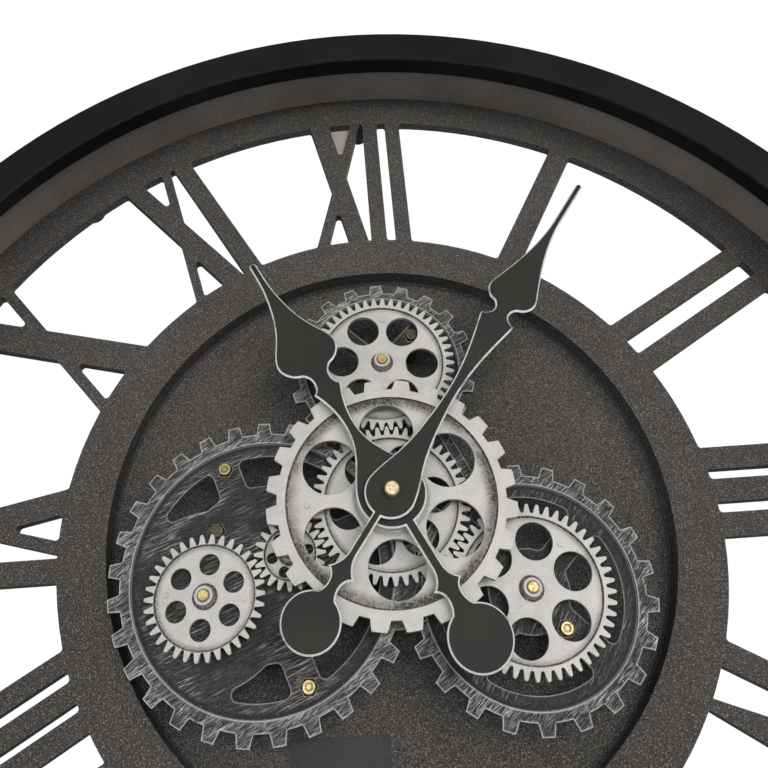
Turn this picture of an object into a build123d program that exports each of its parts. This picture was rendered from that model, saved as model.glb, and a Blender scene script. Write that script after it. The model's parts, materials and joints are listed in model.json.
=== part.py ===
from build123d import *
import os
from math import sin, cos, radians, degrees

# Skeleton wall clock. Every piece is modelled in the dial's own frame: X right and Y up as the
# clock is read, Z towards the reader, and Z = 0 on the dial's front face. save() stands the piece
# up: the clock then faces -Y, +Z is up, and the origin is the hanging hole on the wall plane.
# Angles are in degrees, clockwise from XII, as hands turn.

# ---- case and dial ----
CASE_R = 300.0            # outside radius of the drum
CASE_WALL = 5.0           # thickness of the drum's wall
LIP_R = 277.5             # inside radius of the front lip
FRONT_Z = 55.0            # front face of the lip
BACK_Z = -8.0             # rear edge of the drum
LIP_THICK = 1.4
GLASS_THICK = 3.0
RETAINER_THICK = 5.7
RETAINER_Z = 31.0
DIAL_THICK = 6.0
DIAL_R = 294.6
WINDOW_R_IN = 172.7       # numerals stand between these two radii
WINDOW_R_OUT = 271.5
CORNER_RADII = (1.8, 1.2, 0.7)  # corner rounding of a window: the largest of these that fits
EDGE_CHAMFER = 0.4        # on the front outer edge of the drum
PAN_R = 148.0             # radius of the recess in the dial
PAN_FLOOR_Z = -15.0
SHEET = 2.0               # sheet thickness of pan, hoop and hanger
WALL_Z = -40.0            # the wall that the clock hangs on
HANG_Y = 158.0            # height of the hanging hole above the hands' axis

# ---- gear train ----
MODULE = 1.6
SLACK = 1.0               # centre distances are this much over the nominal ones
ADDENDUM = 1.6
DEDENDUM = 2.6
GEAR_Z = 18.0             # back face of the fine gears
GEAR_THICK = 3.0
WEB_DROP = 0.9            # the web lies this far behind the raised rim
MAIN_TEETH, TOP_TEETH, RIGHT_TEETH, LEFT_TEETH, IDLER_TEETH = 48, 48, 48, 34, 20
MAIN_PHASE = 1.2          # a tooth of the central fine gear points this way
TOP_DIRECTION = 1.0       # where the three neighbours of the central gear lie
RIGHT_DIRECTION = 125.4
LEFT_DIRECTION = 247.4
BIG_TEETH = 24
BIG_Z = 28.8              # back face of the large gear
BIG_THICK = 3.2

# ---- shafts on the hands' axis (radii) ----
ARBOR_R = 1.50
SLEEVE_BORE_R = 1.55
SLEEVE_R = 2.50
BUSH_BORE_R = 2.55
BUSH_R = 4.00
HUB_BORE_R = 4.05
HUB_R = 8.0
AXLE_R = 2.80
AXLE_BORE_R = 2.86
AXLE_COLLAR_R = 4.0

# ---- hands, as the clock shows 11:06 ----
MINUTE_ANGLE = 36.0
HOUR_ANGLE = 333.0
HOUR_HAND_Z = 37.8
MINUTE_HAND_Z = 41.8
HAND_THICK = 1.2
CAP_R = 3.6

# ---- frame plate ----
FRAME_Z = 12.0
FRAME_THICK = 3.0

os.makedirs("parts", exist_ok=True)
STAND_UP = Location((0, WALL_Z, -HANG_Y)) * Rotation(90, 0, 0)


def save(name, *solids):
    """Stand the piece up on the wall plane and write it as one node."""
    placed = [STAND_UP * solid for shape in solids for solid in shape.solids()]
    node = placed[0] if len(placed) == 1 else Compound(placed)
    node.label = name
    export_step(node, f"parts/{name}.step")


def polar(radius, angle, centre=(0, 0)):
    """Point at a radius and a clock angle from a centre."""
    return (centre[0] + radius * sin(radians(angle)), centre[1] + radius * cos(radians(angle)))


def disc(radius, z_low, z_high, centre=(0, 0)):
    return Pos(centre[0], centre[1], (z_low + z_high) / 2) * Cylinder(radius, z_high - z_low)


def ring(outer, inner, z_low, z_high, centre=(0, 0)):
    return disc(outer, z_low, z_high, centre) - disc(inner, z_low - 1, z_high + 1, centre)


def block(x_low, x_high, y_low, y_high, z_low, z_high):
    centre = Pos((x_low + x_high) / 2, (y_low + y_high) / 2, (z_low + z_high) / 2)
    return centre * Box(x_high - x_low, y_high - y_low, z_high - z_low)


def slab(face, z_low, z_high):
    return Pos(0, 0, z_low) * extrude(face, z_high - z_low, dir=(0, 0, 1))


def polygon(*points):
    return make_face(Polyline(*points, close=True))


def round_corners(face, radii):
    """Round the corners of a window with the largest of these radii that it has room for."""
    for radius in radii:
        try:
            return face.fillet_2d(radius, face.vertices())
        except ValueError:
            continue
    return face


def lathe(*points):
    """Turn a profile of (radius, z) points about the hands' axis."""
    profile = make_face(Polyline(*[(radius, 0, z) for radius, z in points], close=True))
    return revolve(profile, Axis.Z)


# ---------------------------------------------------------------- toothed wheels

def toothed_face(teeth, tip_r, root_r, tip_width, root_width, phase, centre=(0, 0), rounded=True):
    """Outline of a wheel: straight flanks, arcs on the tips and between the teeth."""
    pitch = 360 / teeth
    tip_half = degrees(tip_width / 2 / tip_r)
    root_half = degrees(root_width / 2 / root_r)
    crown = tip_width * 0.35 if rounded else 0.0
    edges = []
    for tooth in range(teeth):
        angle = phase + tooth * pitch
        foot_in = polar(root_r, angle - root_half, centre)
        top_in = polar(tip_r - crown, angle - tip_half, centre)
        top = polar(tip_r, angle, centre)
        top_out = polar(tip_r - crown, angle + tip_half, centre)
        foot_out = polar(root_r, angle + root_half, centre)
        valley = polar(root_r - (0.3 if rounded else 0.0), angle + pitch / 2, centre)
        next_foot = polar(root_r, angle + pitch - root_half, centre)
        edges += [Line(foot_in, top_in), ThreePointArc(top_in, top, top_out),
                  Line(top_out, foot_out), ThreePointArc(foot_out, valley, next_foot)]
    return Face(Wire(edges))


def mesh_phase(driver_phase, driver_teeth, direction, teeth):
    """Phase that puts a gap of the second wheel on a tooth of the first, on the line of centres."""
    offset = (driver_phase - direction) / (360 / driver_teeth)
    return direction + 180 + (0.5 - offset) * 360 / teeth


def centre_distance(teeth_a, teeth_b, module=MODULE, slack=SLACK):
    return module * (teeth_a + teeth_b) / 2 + slack


def small_wheel(teeth, module, phase, z_low, z_high, centre=(0, 0)):
    """Plain spur wheel of the movement or the drive, with slim teeth for easy running."""
    pitch_r = module * teeth / 2
    face = toothed_face(teeth, pitch_r + 0.85 * module, pitch_r - 1.25 * module,
                        0.6 * module, 1.7 * module, phase, centre)
    return slab(face, z_low, z_high)


def fine_gear(teeth, phase, centre, rim_r, hole_circle, hole_r, hole_phase, bore_r, marks):
    """Decorative fine gear: raised toothed rim, lower web with six round holes, hub boss."""
    pitch_r = MODULE * teeth / 2
    face = toothed_face(teeth, pitch_r + ADDENDUM, pitch_r - DEDENDUM, 1.7, 3.2, phase, centre)
    top_z = GEAR_Z + GEAR_THICK
    gear = slab(face, GEAR_Z, top_z)
    gear -= disc(rim_r, top_z - WEB_DROP, top_z + 1, centre)
    for hole in range(6):
        gear -= disc(hole_r, GEAR_Z - 1, top_z, polar(hole_circle, hole_phase + 60 * hole, centre))
    for mark_r, mark_angle in marks:
        gear += disc(1.2, top_z - WEB_DROP, top_z - WEB_DROP + 0.35, polar(mark_r, mark_angle, centre))
    return gear - disc(bore_r, GEAR_Z - 1, top_z + 1, centre)


def with_boss(gear, centre, boss_r, boss_height, bore_r):
    """Add the raised boss round a gear's axle."""
    top_z = GEAR_Z + GEAR_THICK
    return gear + ring(boss_r, bore_r, GEAR_Z, top_z + boss_height, centre)


TOP_C = polar(centre_distance(MAIN_TEETH, TOP_TEETH), TOP_DIRECTION)
RIGHT_C = polar(centre_distance(MAIN_TEETH, RIGHT_TEETH), RIGHT_DIRECTION)
IDLER_C = polar(centre_distance(MAIN_TEETH, IDLER_TEETH), LEFT_DIRECTION)
LEFT_C = polar(centre_distance(IDLER_TEETH, LEFT_TEETH), LEFT_DIRECTION, IDLER_C)

TOP_PHASE = mesh_phase(MAIN_PHASE, MAIN_TEETH, TOP_DIRECTION, TOP_TEETH)
RIGHT_PHASE = mesh_phase(MAIN_PHASE, MAIN_TEETH, RIGHT_DIRECTION, RIGHT_TEETH)
IDLER_PHASE = mesh_phase(MAIN_PHASE, MAIN_TEETH, LEFT_DIRECTION, IDLER_TEETH)
LEFT_PHASE = mesh_phase(IDLER_PHASE, IDLER_TEETH, LEFT_DIRECTION, LEFT_TEETH)

# ---------------------------------------------------------------- case, glass and dial

inner_r = CASE_R - CASE_WALL
lip_back = FRONT_Z - LIP_THICK
case = lathe((CASE_R, BACK_Z), (CASE_R, FRONT_Z - EDGE_CHAMFER), (CASE_R - EDGE_CHAMFER, FRONT_Z),
             (LIP_R, FRONT_Z), (LIP_R, lip_back), (inner_r, lip_back), (inner_r, BACK_Z))
save("case_ring", case)
glass_back = lip_back - GLASS_THICK
save("glass_pane", disc(inner_r - 0.5, glass_back, lip_back))
save("glass_retainer", ring(inner_r - 0.1, inner_r - RETAINER_THICK, RETAINER_Z, glass_back - 0.05))


def stroke(top_left, top_right, foot_left, foot_right):
    """One straight stroke of a numeral, as (left, right) edges at the outer and inner ends."""
    reach = 12.0
    height = WINDOW_R_OUT - WINDOW_R_IN
    lean_left = (top_left - foot_left) / height * reach
    lean_right = (top_right - foot_right) / height * reach
    low, high = WINDOW_R_IN - reach, WINDOW_R_OUT + reach
    return polygon((foot_left - lean_left, low), (foot_right - lean_right, low),
                   (top_right + lean_right, high), (top_left + lean_left, high))


def bar(left, right):
    return [stroke(left, right, left, right)]


def cross(thick_top, thick_foot, thin_top, thin_foot):
    """The letter X: a thick stroke falling to the right and a thin one rising."""
    return [stroke(*thick_top, *thick_foot), stroke(*thin_top, *thin_foot)]


def vee(thick_top, thin_top, foot):
    """The letter V: both strokes end in one foot."""
    return [stroke(*thick_top, *foot), stroke(*thin_top, *foot)]


NUMERALS = [
    cross((-34.7, -21.6), (-11.9, 0.2), (-6, 0), (-31.9, -25)) + bar(2.2, 12) + bar(18, 27.6),
    bar(-7.3, 6.8),
    bar(-17.6, -5.4) + bar(5, 17.2),
    bar(-23.6, -11.5) + bar(-6.2, 6) + bar(11.6, 24),
    bar(-16.4, -4.4) + vee((-4, 8), (17, 24.4), (11.2, 16.6)),
    vee((-17, -4), (9, 17), (-3.5, 4)),
    vee((-29, -16), (-3, 5), (-15.5, -8)) + bar(12, 24),
    vee((-37, -24), (-11, -3), (-23.5, -16)) + bar(4, 14) + bar(20, 30),
    vee((-47, -34), (-21, -13), (-27, -20)) + bar(-4.9, 5.8) + bar(9.6, 19.8) + bar(24.7, 34.4),
    bar(-23.5, -11.3) + cross((-9.5, 3.3), (11.2, 24.1), (17.6, 24), (-9.4, -2.8)),
    cross((-22.5, -4.7), (6.4, 24.5), (14.6, 21.7), (-20.3, -13.5)),
    cross((-27.1, -14.7), (-5.4, 7.6), (0.1, 6.1), (-25.3, -19.7)) + bar(9.1, 20.8),
]
windows = Sketch() + Circle(WINDOW_R_OUT) - Circle(WINDOW_R_IN)
for hour, strokes in enumerate(NUMERALS):
    for piece in strokes:
        windows -= Rotation(0, 0, -30 * hour) * piece
dial = ring(DIAL_R, PAN_R, -DIAL_THICK, 0)
for window in windows.faces():
    dial -= slab(round_corners(window, CORNER_RADII), -DIAL_THICK - 1, 1)

# ---------------------------------------------------------------- recessed pan and rear fittings

pan_outer = PAN_R + SHEET
pan_back = PAN_FLOOR_Z - SHEET
flange_z = -DIAL_THICK - SHEET
FLANGE_R = 166.0
SCREW_R = 1.5
REAR_HEAD_R = 2.8
PAN_SCREW_CIRCLE = 158.0
HOOP_R = 281.0
HOOP_SCREW_CIRCLE = 287.0
frame_screws_at = [(-85.0, 24.5), (-88.0, -7.0), (-44.0, -79.5), (78.0, -63.0), (19.5, 96.0)]

DRIVE_MODULE, OUTPUT_MODULE = 1.0, 0.5            # wheels behind the frame, and in the drive housing
DRIVE_TEETH, DRIVE_PINION_TEETH = 72, 20
OUTPUT_TEETH, MOTOR_TEETH = 28, 8
DRIVE_C = polar(centre_distance(DRIVE_TEETH, DRIVE_PINION_TEETH, DRIVE_MODULE, 0.3), 180)
MOTOR_C = polar(centre_distance(OUTPUT_TEETH, MOTOR_TEETH, OUTPUT_MODULE, 0.1), 180, DRIVE_C)
DRIVE_SHAFT_R = 1.5
RUNNING = 0.05                                    # radial clearance of a running shaft

pan = lathe((FLANGE_R, flange_z), (FLANGE_R, -DIAL_THICK), (PAN_R, -DIAL_THICK), (PAN_R, -11),
            (PAN_R - 1, -13.6), (PAN_R - 3.5, PAN_FLOOR_Z), (BUSH_R + 0.1, PAN_FLOOR_Z),
            (BUSH_R + 0.1, pan_back), (pan_outer - 4.8, pan_back), (pan_outer - 1.2, PAN_FLOOR_Z),
            (pan_outer, -11.6), (pan_outer, flange_z))
SHAFT_HOLE_R = 2.5
pan -= disc(SHAFT_HOLE_R, pan_back - 1, 0, DRIVE_C)
for place in frame_screws_at:
    pan -= disc(SCREW_R, pan_back - 1, 0, place)


def rear_screws(places, head_z, depth):
    """Pan-head screws driven forwards from the back."""
    return [disc(REAR_HEAD_R, head_z - 1.8, head_z, place)
            + disc(SCREW_R, head_z - 1.0, head_z + depth, place) for place in places]


pan_screw_places = [polar(PAN_SCREW_CIRCLE, 22.5 + 45 * k) for k in range(8)]
hoop_screw_places = [polar(HOOP_SCREW_CIRCLE, 30 * k + 15) for k in range(12)]
hanger_screw_places = [(-12.0, PAN_SCREW_CIRCLE), (12.0, PAN_SCREW_CIRCLE)]
hoop = ring(inner_r, HOOP_R, flange_z, -DIAL_THICK)
screw_depth = SHEET + 4.0
for place in pan_screw_places + hanger_screw_places:
    pan -= disc(SCREW_R, flange_z - 1, 0, place)
    dial -= disc(SCREW_R, -DIAL_THICK - 1, flange_z + screw_depth, place)
for place in hoop_screw_places:
    hoop -= disc(SCREW_R, flange_z - 1, 0, place)
    dial -= disc(SCREW_R, -DIAL_THICK - 1, flange_z + screw_depth, place)
save("dial_plate", dial)
save("recess_pan", pan)
save("rear_hoop", hoop)
save("rear_screws", *rear_screws(pan_screw_places + hoop_screw_places, flange_z, screw_depth),
     *rear_screws(hanger_screw_places, flange_z - SHEET, screw_depth + SHEET),
     *rear_screws(frame_screws_at, pan_back, 7.0))
save("pan_plaque", block(-56, -8, -122, -100, PAN_FLOOR_Z, PAN_FLOOR_Z + 0.8))

BUMPER_Z = WALL_Z + 4.0
POST_FOOT_R = 5.0
bumper_places = [polar(PAN_SCREW_CIRCLE, angle) for angle in (60, 180, 300)]
save("standoff_posts", *[disc(POST_FOOT_R, BUMPER_Z, flange_z, place) for place in bumper_places])
save("rubber_bumpers", *[disc(POST_FOOT_R, WALL_Z, BUMPER_Z, place) for place in bumper_places])

LUG_R, LUG_CIRCLE, LUG_BACK_Z = 7.5, 288.6, -20.0
STUD_R, STUD_C, STUD_BACK_Z = 5.0, (-1.0, 268.0), -12.0
save("rear_lugs", *[disc(LUG_R, LUG_BACK_Z, flange_z, polar(LUG_CIRCLE, angle)) for angle in (80, 200, 320)],
     disc(STUD_R, STUD_BACK_Z, -DIAL_THICK, STUD_C))
save("fixing_tab", block(-26, -7, 246, 278, flange_z, -DIAL_THICK))

HANGER_HALF = 18.0
KEYHOLE_R = 4.5
KEYHOLE_SLOT_R = 2.3
SLOT_RISE = 8.0
leg_low = pan_outer + 1.0
tab_back = flange_z - SHEET
hanger = block(-HANGER_HALF, HANGER_HALF, leg_low, HANG_Y + SLOT_RISE + 8, WALL_Z, WALL_Z + SHEET)
hanger += block(-HANGER_HALF, HANGER_HALF, leg_low, leg_low + SHEET, WALL_Z, flange_z)
hanger += block(-HANGER_HALF, HANGER_HALF, leg_low, FLANGE_R - 2, tab_back, flange_z)
hanger -= disc(KEYHOLE_R, WALL_Z - 1, WALL_Z + SHEET + 1, (0, HANG_Y))
hanger -= disc(KEYHOLE_SLOT_R, WALL_Z - 1, WALL_Z + SHEET + 1, (0, HANG_Y + SLOT_RISE))
hanger -= block(-KEYHOLE_SLOT_R, KEYHOLE_SLOT_R, HANG_Y, HANG_Y + SLOT_RISE, WALL_Z - 1, WALL_Z + SHEET + 1)
for place in hanger_screw_places:
    hanger -= disc(SCREW_R, tab_back - 1, 0, place)
save("hanger_bracket", hanger)

# ---------------------------------------------------------------- frame plate and its fixings

frame_top = FRAME_Z + FRAME_THICK
frame_web = FRAME_Z + 1.6
LEFT_WHEEL_C = (-65.1, -27.1)


def frame_wheel(centre, teeth, tip_r, root_r, groove_r, phase):
    """One static gear-shaped wheel of the frame plate: raised toothed rim and a lower web."""
    face = toothed_face(teeth, tip_r, root_r, 5.9, 8.0, phase, centre, rounded=False)
    return slab(face, FRAME_Z, frame_top) - disc(groove_r, frame_web, frame_top + 1, centre)


def wheel_windows(centre, outer, inner, spoke_angle, spoke_width, keep=None):
    """The openings between the four spokes of a frame wheel."""
    opening = Circle(outer) - Circle(inner)
    for quarter in range(4):
        angle = spoke_angle + 90 * quarter
        x, y = polar(outer / 2, angle)
        opening -= Pos(x, y, 0) * Rotation(0, 0, -angle) * Rectangle(spoke_width, outer * 1.2)
    if keep:
        opening -= Pos(keep[0] - centre[0], keep[1] - centre[1], 0) * Circle(keep[2])
    cutters = []
    for window in opening.faces():
        cutters.append(Pos(*centre, 0) * slab(round_corners(window, (3.0,)), FRAME_Z - 1, frame_top + 1))
    return cutters


link_width = 5.5
link = Pos(35.5, 26.0, 0) * Rotation(0, 0, 24) * Rectangle(link_width, 92)
LEFT_GROOVE_R, RIGHT_GROOVE_R, TOP_GROOVE_R = 64.5, 51.5, 43.0
frame = frame_wheel(LEFT_WHEEL_C, 29, 75.4, 69.6, LEFT_GROOVE_R, 0.4)
frame += frame_wheel(RIGHT_C, 22, 61.5, 56.0, RIGHT_GROOVE_R, 1.9)
frame += frame_wheel(TOP_C, 20, 52.0, 46.8, TOP_GROOVE_R, 0.0)
right_groove = disc(RIGHT_GROOVE_R, 0, 20, RIGHT_C)
frame += slab(link.face(), FRAME_Z, frame_top) - disc(TOP_GROOVE_R, 0, 20, TOP_C) - right_groove
throat = polygon((-7, -58.5), (13, -58.5), (9, -25), (1, -25))
frame += slab(throat, FRAME_Z, frame_top) - disc(LEFT_GROOVE_R, 0, 20, LEFT_WHEEL_C) - right_groove
for cutter in (wheel_windows(LEFT_WHEEL_C, 57.5, 42.0, -21, 14.5, (*LEFT_C, 42.0))
               + wheel_windows(RIGHT_C, 45.0, 20.0, 47, 15.0)
               + wheel_windows(TOP_C, 38.0, 14.0, 45, 11.0)):
    frame -= cutter
frame -= disc(HUB_R + 2.5, 0, 20)
axle_places = [TOP_C, RIGHT_C, LEFT_C, IDLER_C]
for place in axle_places:
    frame -= disc(AXLE_R, 0, 20, place)
for place in frame_screws_at:
    frame -= disc(SCREW_R, 0, 20, place)
save("frame_plate", frame)

POST_R = 4.0
WASHER_CORNER_R = 4.5
HEAD_R, HEAD_HEIGHT = 2.9, 1.7
GROOVE_OUT_R, GROOVE_IN_R, GROOVE_DEPTH = 1.9, 1.0, 0.6
washer_top = frame_web + 0.5
head_top = washer_top + HEAD_HEIGHT
posts, washers, front_screws = [], [], []
for place in frame_screws_at:
    post = disc(POST_R, PAN_FLOOR_Z, FRAME_Z, place)
    post -= disc(SCREW_R, FRAME_Z - 9, FRAME_Z + 1, place)
    posts.append(post - disc(SCREW_R, PAN_FLOOR_Z - 1, PAN_FLOOR_Z + 7, place))
    hexagon = Pos(*place) * RegularPolygon(WASHER_CORNER_R, 6)
    washers.append(slab(hexagon.face(), frame_web, washer_top) - disc(SCREW_R, frame_web - 1, 20, place))
    head = disc(HEAD_R, washer_top, head_top, place)
    head -= ring(GROOVE_OUT_R, GROOVE_IN_R, head_top - GROOVE_DEPTH, head_top + 1, place)
    front_screws.append(head + disc(SCREW_R, FRAME_Z - 7, washer_top + 0.6, place))
save("frame_posts", *posts)
save("frame_washers", *washers)
save("frame_screws", *front_screws)

axle_head_z = FRAME_Z - 1.5
axle_tip_z = 25.4
axle_pins = []
for place in axle_places:
    axle = disc(AXLE_COLLAR_R, axle_head_z, FRAME_Z, place) + disc(AXLE_R, axle_head_z, axle_tip_z, place)
    axle += disc(AXLE_COLLAR_R, frame_web, GEAR_Z - 0.15, place)
    axle_pins.append(chamfer(axle.edges().group_by(Axis.Z)[-1], 0.5))
save("axle_pins", *axle_pins)

# ---------------------------------------------------------------- silver gears

MARK_R = 26.0
BOSS_R, BOSS_HEIGHT = 4.4, 3.0
save("top_gear", with_boss(
    fine_gear(TOP_TEETH, TOP_PHASE, TOP_C, 33.7, 22.0, 9.0, 35.0, AXLE_BORE_R, [(MARK_R, 5), (MARK_R, 185)]),
    TOP_C, BOSS_R, BOSS_HEIGHT, AXLE_BORE_R))
save("right_gear", with_boss(
    fine_gear(RIGHT_TEETH, RIGHT_PHASE, RIGHT_C, 33.7, 22.2, 9.2, 13.0, AXLE_BORE_R,
              [(MARK_R, 42), (MARK_R, 222)]),
    RIGHT_C, BOSS_R, BOSS_HEIGHT, AXLE_BORE_R))
save("left_gear", with_boss(
    fine_gear(LEFT_TEETH, LEFT_PHASE, LEFT_C, 23.9, 14.7, 5.0, 6.6, AXLE_BORE_R, [(18.8, 97), (18.8, 276)]),
    LEFT_C, BOSS_R, BOSS_HEIGHT, AXLE_BORE_R))
save("idler_gear", with_boss(
    fine_gear(IDLER_TEETH, IDLER_PHASE, IDLER_C, 12.6, 8.8, 2.7, 20.0, AXLE_BORE_R, []),
    IDLER_C, BOSS_R - 0.3, BOSS_HEIGHT - 1.0, AXLE_BORE_R))
save("central_fine_gear",
     fine_gear(MAIN_TEETH, MAIN_PHASE, (0, 0), 33.7, 22.0, 9.2, 23.0, HUB_R, [(26.4, 175), (26.4, 355)]))

BIG_TIP, BIG_ROOT, BIG_RIM = 61.6, 56.4, 52.0
BIG_HOLE_CIRCLE, BIG_HOLE_R = 34.0, 14.0
big_top = BIG_Z + BIG_THICK
big = slab(toothed_face(BIG_TEETH, BIG_TIP, BIG_ROOT, 7.2, 9.8, 9.74, rounded=False), BIG_Z, big_top)
big -= disc(BIG_RIM, big_top - 1.2, big_top + 1)
for hole in range(6):
    big -= disc(BIG_HOLE_R, BIG_Z - 1, big_top + 1, polar(BIG_HOLE_CIRCLE, 60 * hole))
big += disc(1.3, big_top - 1.2, big_top - 0.8, polar(41.6, 268))
hub_skirt = lathe((0, big_top - 1.3), (18.0, big_top - 1.3), (17.0, big_top - 0.2), (11.0, big_top + 1.6),
                  (0, big_top + 1.6))
big = big + hub_skirt - disc(HUB_R, 0, 60)
save("large_gear", big)

HUB_FRONT = big_top + 1.8
save("hub_tube", ring(HUB_R, HUB_BORE_R, 0.5, HUB_FRONT))
CLIP_THICK = 0.8
save("hub_clip", ring(6.4, BUSH_R, HUB_FRONT + 0.3, HUB_FRONT + 0.3 + CLIP_THICK))
save("bush_collar", ring(7.0, BUSH_R, -2.0, 0.2))

# ---------------------------------------------------------------- gear drive behind the pan

drive_wheel_phase = 0.0
drive_pinion_phase = mesh_phase(drive_wheel_phase, DRIVE_TEETH, 180, DRIVE_PINION_TEETH)
output_phase = 3.0
motor_phase = mesh_phase(output_phase, OUTPUT_TEETH, 180, MOTOR_TEETH)
DRIVE_WHEEL_Z, DRIVE_WHEEL_THICK = 1.5, 3.0
wheel_front = DRIVE_WHEEL_Z + DRIVE_WHEEL_THICK
save("drive_wheel", small_wheel(DRIVE_TEETH, DRIVE_MODULE, drive_wheel_phase, DRIVE_WHEEL_Z, wheel_front)
     - disc(HUB_R, 0, 9))
output_z = -25.5
save("drive_pinion",
     small_wheel(DRIVE_PINION_TEETH, DRIVE_MODULE, drive_pinion_phase, DRIVE_WHEEL_Z - 0.3,
                 wheel_front + 0.3, DRIVE_C)
     + disc(DRIVE_SHAFT_R, output_z - 3, wheel_front + 0.9, DRIVE_C))
output_wheel = small_wheel(OUTPUT_TEETH, OUTPUT_MODULE, output_phase, output_z, output_z + 2, DRIVE_C)
save("output_wheel", output_wheel - disc(DRIVE_SHAFT_R, output_z - 1, 0, DRIVE_C))
save("motor_pinion",
     small_wheel(MOTOR_TEETH, OUTPUT_MODULE, motor_phase, output_z - 0.4, output_z + 2.4, MOTOR_C)
     + disc(0.8, output_z - 2.5, output_z, MOTOR_C))

BOX_HALF = 30.0
BOX_TOP, BOX_LOW = -36.6, -91.0
BOX_WALL = 1.2
lid_z = WALL_Z + 2.0
lid_front = lid_z + 1.4
front_wall = pan_back - 1.4
housing = block(-BOX_HALF, BOX_HALF, BOX_LOW, BOX_TOP, lid_front, pan_back)
housing -= block(-BOX_HALF + BOX_WALL, BOX_HALF - BOX_WALL, BOX_LOW + BOX_WALL, BOX_TOP - BOX_WALL,
                 lid_front - 1, front_wall)
housing += block(-BOX_HALF, BOX_HALF, -70, -69, lid_front, pan_back)
housing -= disc(DRIVE_SHAFT_R + RUNNING, lid_front, 0, DRIVE_C)
corner_places = [(x, y) for x in (-27, 27) for y in (BOX_LOW + 3, BOX_TOP - 3)]
for place in corner_places:
    housing += disc(2.4, lid_front, front_wall, place)
for place in corner_places:
    housing -= disc(1.1, lid_front - 1, lid_front + 8, place)
save("drive_housing", housing)
SWITCH_C = (17.0, -55.0)
SWITCH_TRAVEL = 4.0
lid = block(-BOX_HALF, BOX_HALF, BOX_LOW, BOX_TOP, lid_z, lid_front)
lid -= block(SWITCH_C[0] - 2.3, SWITCH_C[0] + 2.3 + SWITCH_TRAVEL, SWITCH_C[1] - 1.8, SWITCH_C[1] + 1.8,
             lid_z - 1, lid_front + 1)
lid -= block(-26, 26, -87, -73, lid_z - 1, lid_front + 1)
for place in corner_places:
    lid -= disc(1.1, lid_z - 1, lid_front + 1, place)
save("drive_lid", lid)
save("drive_lid_screws", *[disc(2.0, lid_z - 1.2, lid_z, place) + disc(1.1, lid_z - 0.5, lid_front + 7, place)
                           for place in corner_places])
save("switch_base", block(SWITCH_C[0] - 6, SWITCH_C[0] + 6 + SWITCH_TRAVEL, SWITCH_C[1] - 4, SWITCH_C[1] + 4,
                          lid_front, lid_front + 4) -
     block(SWITCH_C[0] - 2.3, SWITCH_C[0] + 2.3 + SWITCH_TRAVEL, SWITCH_C[1] - 1.8, SWITCH_C[1] + 1.8,
           lid_front - 1, lid_front + 1.6))
save("switch_slider", block(SWITCH_C[0] - 2, SWITCH_C[0] + 2, SWITCH_C[1] - 1.5, SWITCH_C[1] + 1.5,
                            lid_z - 1.0, lid_front + 1.3))
motor_front = output_z - 0.8
save("drive_motor", disc(9.5, lid_front, motor_front, MOTOR_C) - disc(0.9, motor_front - 3, 0, MOTOR_C)
     - disc(DRIVE_SHAFT_R + RUNNING, lid_front + 3, 0, DRIVE_C))

CELL_R = 7.1
CELL_HALF = 25.0


def cell(y, z):
    """AA cell lying along X with its positive button on the right."""
    body = Pos(0, y, z) * Rotation(0, 90, 0) * Cylinder(CELL_R, 2 * CELL_HALF - 1.4)
    return body + Pos(CELL_HALF - 0.4, y, z) * Rotation(0, 90, 0) * Cylinder(2.6, 2.0)


def contacts(y, z, low_x, high_x):
    """Leaf contacts at the two ends of a cell."""
    return [block(low_x - 0.6, low_x, y - 4.5, y + 4.5, z - 4.5, z + 4.5),
            block(high_x, high_x + 0.6, y - 4.5, y + 4.5, z - 4.5, z + 4.5)]


cell_ends = (-(CELL_HALF - 0.7), CELL_HALF + 0.6)
drive_cell_at = (-80.0, -26.2)
movement_cell_at = (-27.0, -26.2)
save("aa_cells", cell(*drive_cell_at), cell(*movement_cell_at))
save("battery_contacts", *contacts(*drive_cell_at, *cell_ends), *contacts(*movement_cell_at, *cell_ends))

# ---------------------------------------------------------------- clock movement behind the pan

MOVE_HALF = 28.0
MOVE_LOW, MOVE_TOP = -36.0, 20.0
MOVE_WALL = 1.4
split_z = -27.0
cover_z = -36.0
shell_front = pan_back - 1.6
divider_y = -19.0
MINUTE_MODULE, HOUR_MODULE, CENTRE_MODULE = 0.45, 0.42, 0.40
CANNON_TEETH, MOTION_TEETH, MOTION_PINION_TEETH, HOUR_TEETH, KNOB_TEETH = 14, 42, 12, 48, 12
CENTRE_TEETH, THIRD_PINION_TEETH, THIRD_TEETH = 64, 8, 60
motion_distance = centre_distance(CANNON_TEETH, MOTION_TEETH, MINUTE_MODULE, 0.1)
MOTION_DIRECTION, THIRD_DIRECTION, KNOB_DIRECTION = 240.0, 60.0, 270.0
MOTION_C = polar(motion_distance, MOTION_DIRECTION)
THIRD_C = polar(centre_distance(CENTRE_TEETH, THIRD_PINION_TEETH, CENTRE_MODULE, 0.1), THIRD_DIRECTION)
KNOB_C = polar(centre_distance(MOTION_TEETH, KNOB_TEETH, MINUTE_MODULE, 0.1), KNOB_DIRECTION, MOTION_C)
PIN_R = 0.6
KNOB_SHAFT_R = 1.5

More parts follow.
